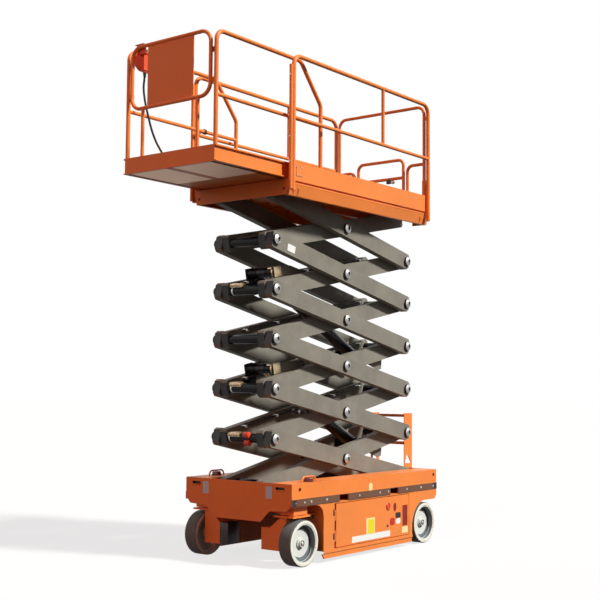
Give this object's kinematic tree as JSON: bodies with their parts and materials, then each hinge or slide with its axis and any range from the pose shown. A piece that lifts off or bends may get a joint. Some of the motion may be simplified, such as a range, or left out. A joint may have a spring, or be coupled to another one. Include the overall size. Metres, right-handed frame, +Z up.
{
  "type": "electric scissor lift",
  "caption": "Self-propelled scissor lift with stacked crossing arms, raised guardrailed platform, slide-out deck, side compartments and steered wheels.",
  "frame": {"origin": "on the floor under the middle of the bounding box", "axes": "+X to the steered front end, +Y to the machine's left, +Z up"},
  "size_m": [3.324, 1.186, 4.2663],
  "materials": {
    "orange_enamel": "gloss enamel over steel",
    "taupe_enamel": "satin enamel over steel",
    "dark_enamel": "satin black enamel",
    "bright_steel": "hard chrome",
    "tyre": "solid rubber",
    "rim": "pale enamel",
    "lamp": "moulded lens",
    "cable": "rubber sheath",
    "box_plastic": "moulded",
    "power": "plain"
  },
  "bodies": {
    "chassis": {"chassis_frame": "orange_enamel", "side_bays": "orange_enamel", "rub_strakes": "dark_enamel", "power_blocks": "power", "front_axle": "orange_enamel", "rear_axle": "orange_enamel", "scissor_mounts": "dark_enamel", "boarding_ladder": "orange_enamel", "warning_lamps": "lamp"},
    "left_door": {"left_door": "orange_enamel"},
    "right_door": {"right_door": "orange_enamel"},
    "left_guard": {"left_pothole_guard": "orange_enamel"},
    "right_guard": {"right_pothole_guard": "orange_enamel"},
    "left_knuckle": {"left_knuckle": "orange_enamel"},
    "right_knuckle": {"right_knuckle": "orange_enamel"},
    "tie_rod": {"tie_rod": "dark_enamel"},
    "inner_arms_1": {"inner_arms_1": "taupe_enamel"},
    "outer_arms_1": {"outer_arms_1": "taupe_enamel"},
    "inner_arms_2": {"inner_arms_2": "taupe_enamel"},
    "outer_arms_2": {"outer_arms_2": "taupe_enamel"},
    "inner_arms_3": {"inner_arms_3": "taupe_enamel"},
    "outer_arms_3": {"outer_arms_3": "taupe_enamel"},
    "inner_arms_4": {"inner_arms_4": "taupe_enamel"},
    "outer_arms_4": {"outer_arms_4": "taupe_enamel"},
    "inner_arms_5": {"inner_arms_5": "taupe_enamel"},
    "outer_arms_5": {"outer_arms_5": "taupe_enamel"},
    "inner_arms_6": {"inner_arms_6": "taupe_enamel"},
    "outer_arms_6": {"outer_arms_6": "taupe_enamel"},
    "platform": {"platform_deck": "orange_enamel", "main_guardrails": "orange_enamel"},
    "lower_barrel": {"lower_lift_barrel": "dark_enamel"},
    "lower_rod": {"lower_lift_rod": "bright_steel"},
    "upper_barrel": {"upper_lift_barrel": "dark_enamel"},
    "upper_rod": {"upper_lift_rod": "bright_steel"},
    "entry_gate": {"entry_gate": "orange_enamel"},
    "extension": {"extension_deck": "orange_enamel", "extension_guardrails": "orange_enamel", "control_box": "box_plastic", "control_cable": "cable"},
    "front_left_wheel": {"front_left_tyre": "tyre", "front_left_rim": "rim"},
    "front_right_wheel": {"front_right_tyre": "tyre", "front_right_rim": "rim"},
    "rear_left_wheel": {"rear_left_tyre": "tyre", "rear_left_rim": "rim"},
    "rear_right_wheel": {"rear_right_tyre": "tyre", "rear_right_rim": "rim"}
  },
  "joints": [
    {"name": "scissor_lift", "type": "hinge", "parent": "chassis", "child": "inner_arms_1", "pos_m": [0.681, 0, 0.615], "axis": [0, 1, 0], "range_deg": [-6.9, 43.45]},
    {"name": "centre_joint_1", "type": "hinge", "parent": "inner_arms_1", "child": "outer_arms_1", "pos_m": [-0.34284, 0, 0.82423], "axis": [0, 1, 0], "range_deg": [-87.4, 14.3]},
    {"name": "front_joint_2", "type": "hinge", "parent": "outer_arms_1", "child": "inner_arms_2", "pos_m": [0.681, 0, 1.03347], "axis": [0, 1, 0], "range_deg": [-14.3, 87.4]},
    {"name": "centre_joint_2", "type": "hinge", "parent": "inner_arms_2", "child": "outer_arms_2", "pos_m": [-0.34284, 0, 1.2427], "axis": [0, 1, 0], "range_deg": [-87.4, 14.3]},
    {"name": "front_joint_3", "type": "hinge", "parent": "outer_arms_2", "child": "inner_arms_3", "pos_m": [0.681, 0, 1.45193], "axis": [0, 1, 0], "range_deg": [-14.3, 87.4]},
    {"name": "centre_joint_3", "type": "hinge", "parent": "inner_arms_3", "child": "outer_arms_3", "pos_m": [-0.34284, 0, 1.66117], "axis": [0, 1, 0], "range_deg": [-87.4, 14.3]},
    {"name": "front_joint_4", "type": "hinge", "parent": "outer_arms_3", "child": "inner_arms_4", "pos_m": [0.681, 0, 1.8704], "axis": [0, 1, 0], "range_deg": [-14.3, 87.4]},
    {"name": "centre_joint_4", "type": "hinge", "parent": "inner_arms_4", "child": "outer_arms_4", "pos_m": [-0.34284, 0, 2.07963], "axis": [0, 1, 0], "range_deg": [-87.4, 14.3]},
    {"name": "front_joint_5", "type": "hinge", "parent": "outer_arms_4", "child": "inner_arms_5", "pos_m": [0.681, 0, 2.28886], "axis": [0, 1, 0], "range_deg": [-14.3, 87.4]},
    {"name": "centre_joint_5", "type": "hinge", "parent": "inner_arms_5", "child": "outer_arms_5", "pos_m": [-0.34284, 0, 2.4981], "axis": [0, 1, 0], "range_deg": [-87.4, 14.3]},
    {"name": "front_joint_6", "type": "hinge", "parent": "outer_arms_5", "child": "inner_arms_6", "pos_m": [0.681, 0, 2.70733], "axis": [0, 1, 0], "range_deg": [-14.3, 87.4]},
    {"name": "centre_joint_6", "type": "hinge", "parent": "inner_arms_6", "child": "outer_arms_6", "pos_m": [-0.34284, 0, 2.91656], "axis": [0, 1, 0], "range_deg": [-87.4, 14.3]},
    {"name": "platform_level", "type": "hinge", "parent": "outer_arms_6", "child": "platform", "pos_m": [0.681, 0, 3.1258], "axis": [0, 1, 0], "range_deg": [-7.4, 43.95]},
    {"name": "lower_barrel_pivot", "type": "hinge", "parent": "inner_arms_1", "child": "lower_barrel", "pos_m": [-0.8915, 0, 0.93636], "axis": [0, 1, 0], "range_deg": [-89.86, 14.69]},
    {"name": "lower_rod_slide", "type": "slide", "parent": "lower_barrel", "child": "lower_rod", "axis": [0.8912, 0, 0.4536], "range_m": [-0.1686, 1.0404]},
    {"name": "upper_barrel_pivot", "type": "hinge", "parent": "inner_arms_3", "child": "upper_barrel", "pos_m": [-0.8915, 0, 1.77329], "axis": [0, 1, 0], "range_deg": [-89.86, 14.69]},
    {"name": "upper_rod_slide", "type": "slide", "parent": "upper_barrel", "child": "upper_rod", "axis": [0.8912, 0, 0.4536], "range_m": [-0.1686, 1.0404]},
    {"name": "entry_gate_swing", "type": "hinge", "parent": "platform", "child": "entry_gate", "pos_m": [-1.39, -0.32, 3.5], "axis": [0, 0, 1], "range_deg": [-88, 0]},
    {"name": "extension_slide", "type": "slide", "parent": "platform", "child": "extension", "axis": [1, 0, 0], "range_m": [-0.88, 0]},
    {"name": "left_door_swing", "type": "hinge", "parent": "chassis", "child": "left_door", "pos_m": [0.171, 0.576, 0.3], "axis": [0, 0, 1], "range_deg": [-95, 0]},
    {"name": "left_guard_fold", "type": "hinge", "parent": "chassis", "child": "left_guard", "pos_m": [-0.334, 0.577, 0.085], "axis": [1, 0, 0], "range_deg": [-88, 0]},
    {"name": "right_door_swing", "type": "hinge", "parent": "chassis", "child": "right_door", "pos_m": [0.171, -0.576, 0.3], "axis": [0, 0, 1], "range_deg": [0, 95]},
    {"name": "right_guard_fold", "type": "hinge", "parent": "chassis", "child": "right_guard", "pos_m": [-0.334, -0.577, 0.085], "axis": [1, 0, 0], "range_deg": [0, 88]},
    {"name": "steering", "type": "hinge", "parent": "chassis", "child": "left_knuckle", "pos_m": [0.601, 0.47, 0.45], "axis": [0, 0, 1], "range_deg": [-40, 40]},
    {"name": "right_steering", "type": "hinge", "parent": "chassis", "child": "right_knuckle", "pos_m": [0.601, -0.47, 0.45], "axis": [0, 0, 1], "range_deg": [-40.5, 40.5]},
    {"name": "tie_rod_pin", "type": "hinge", "parent": "left_knuckle", "child": "tie_rod", "pos_m": [0.371, 0.47, 0.377], "axis": [0, 0, 1], "range_deg": [-40.5, 40.5]},
    {"name": "front_left_wheel_spin", "type": "hinge", "parent": "left_knuckle", "child": "front_left_wheel", "pos_m": [0.601, 0.52, 0.1905], "axis": [0, 1, 0], "continuous": true},
    {"name": "front_right_wheel_spin", "type": "hinge", "parent": "right_knuckle", "child": "front_right_wheel", "pos_m": [0.601, -0.52, 0.1905], "axis": [0, 1, 0], "continuous": true},
    {"name": "rear_left_wheel_spin", "type": "hinge", "parent": "chassis", "child": "rear_left_wheel", "pos_m": [-1.269, 0.52, 0.1905], "axis": [0, 1, 0], "continuous": true},
    {"name": "rear_right_wheel_spin", "type": "hinge", "parent": "chassis", "child": "rear_right_wheel", "pos_m": [-1.269, -0.52, 0.1905], "axis": [0, 1, 0], "continuous": true}
  ],
  "couplings": [
    {"joint": "centre_joint_1", "follows": "scissor_lift", "ratio": -2},
    {"joint": "front_joint_2", "follows": "scissor_lift", "ratio": 2},
    {"joint": "centre_joint_2", "follows": "scissor_lift", "ratio": -2},
    {"joint": "front_joint_3", "follows": "scissor_lift", "ratio": 2},
    {"joint": "centre_joint_3", "follows": "scissor_lift", "ratio": -2},
    {"joint": "front_joint_4", "follows": "scissor_lift", "ratio": 2},
    {"joint": "centre_joint_4", "follows": "scissor_lift", "ratio": -2},
    {"joint": "front_joint_5", "follows": "scissor_lift", "ratio": 2},
    {"joint": "centre_joint_5", "follows": "scissor_lift", "ratio": -2},
    {"joint": "front_joint_6", "follows": "scissor_lift", "ratio": 2},
    {"joint": "centre_joint_6", "follows": "scissor_lift", "ratio": -2},
    {"joint": "platform_level", "follows": "scissor_lift", "ratio": 1},
    {"joint": "lower_barrel_pivot", "follows": "scissor_lift", "ratio": -2.0566},
    {"joint": "lower_rod_slide", "follows": "scissor_lift", "m_per_rad": 1.3667},
    {"joint": "upper_barrel_pivot", "follows": "scissor_lift", "ratio": -2.0566},
    {"joint": "upper_rod_slide", "follows": "scissor_lift", "m_per_rad": 1.3667},
    {"joint": "right_steering", "follows": "steering", "ratio": 1},
    {"joint": "tie_rod_pin", "follows": "steering", "ratio": -1}
  ]
}
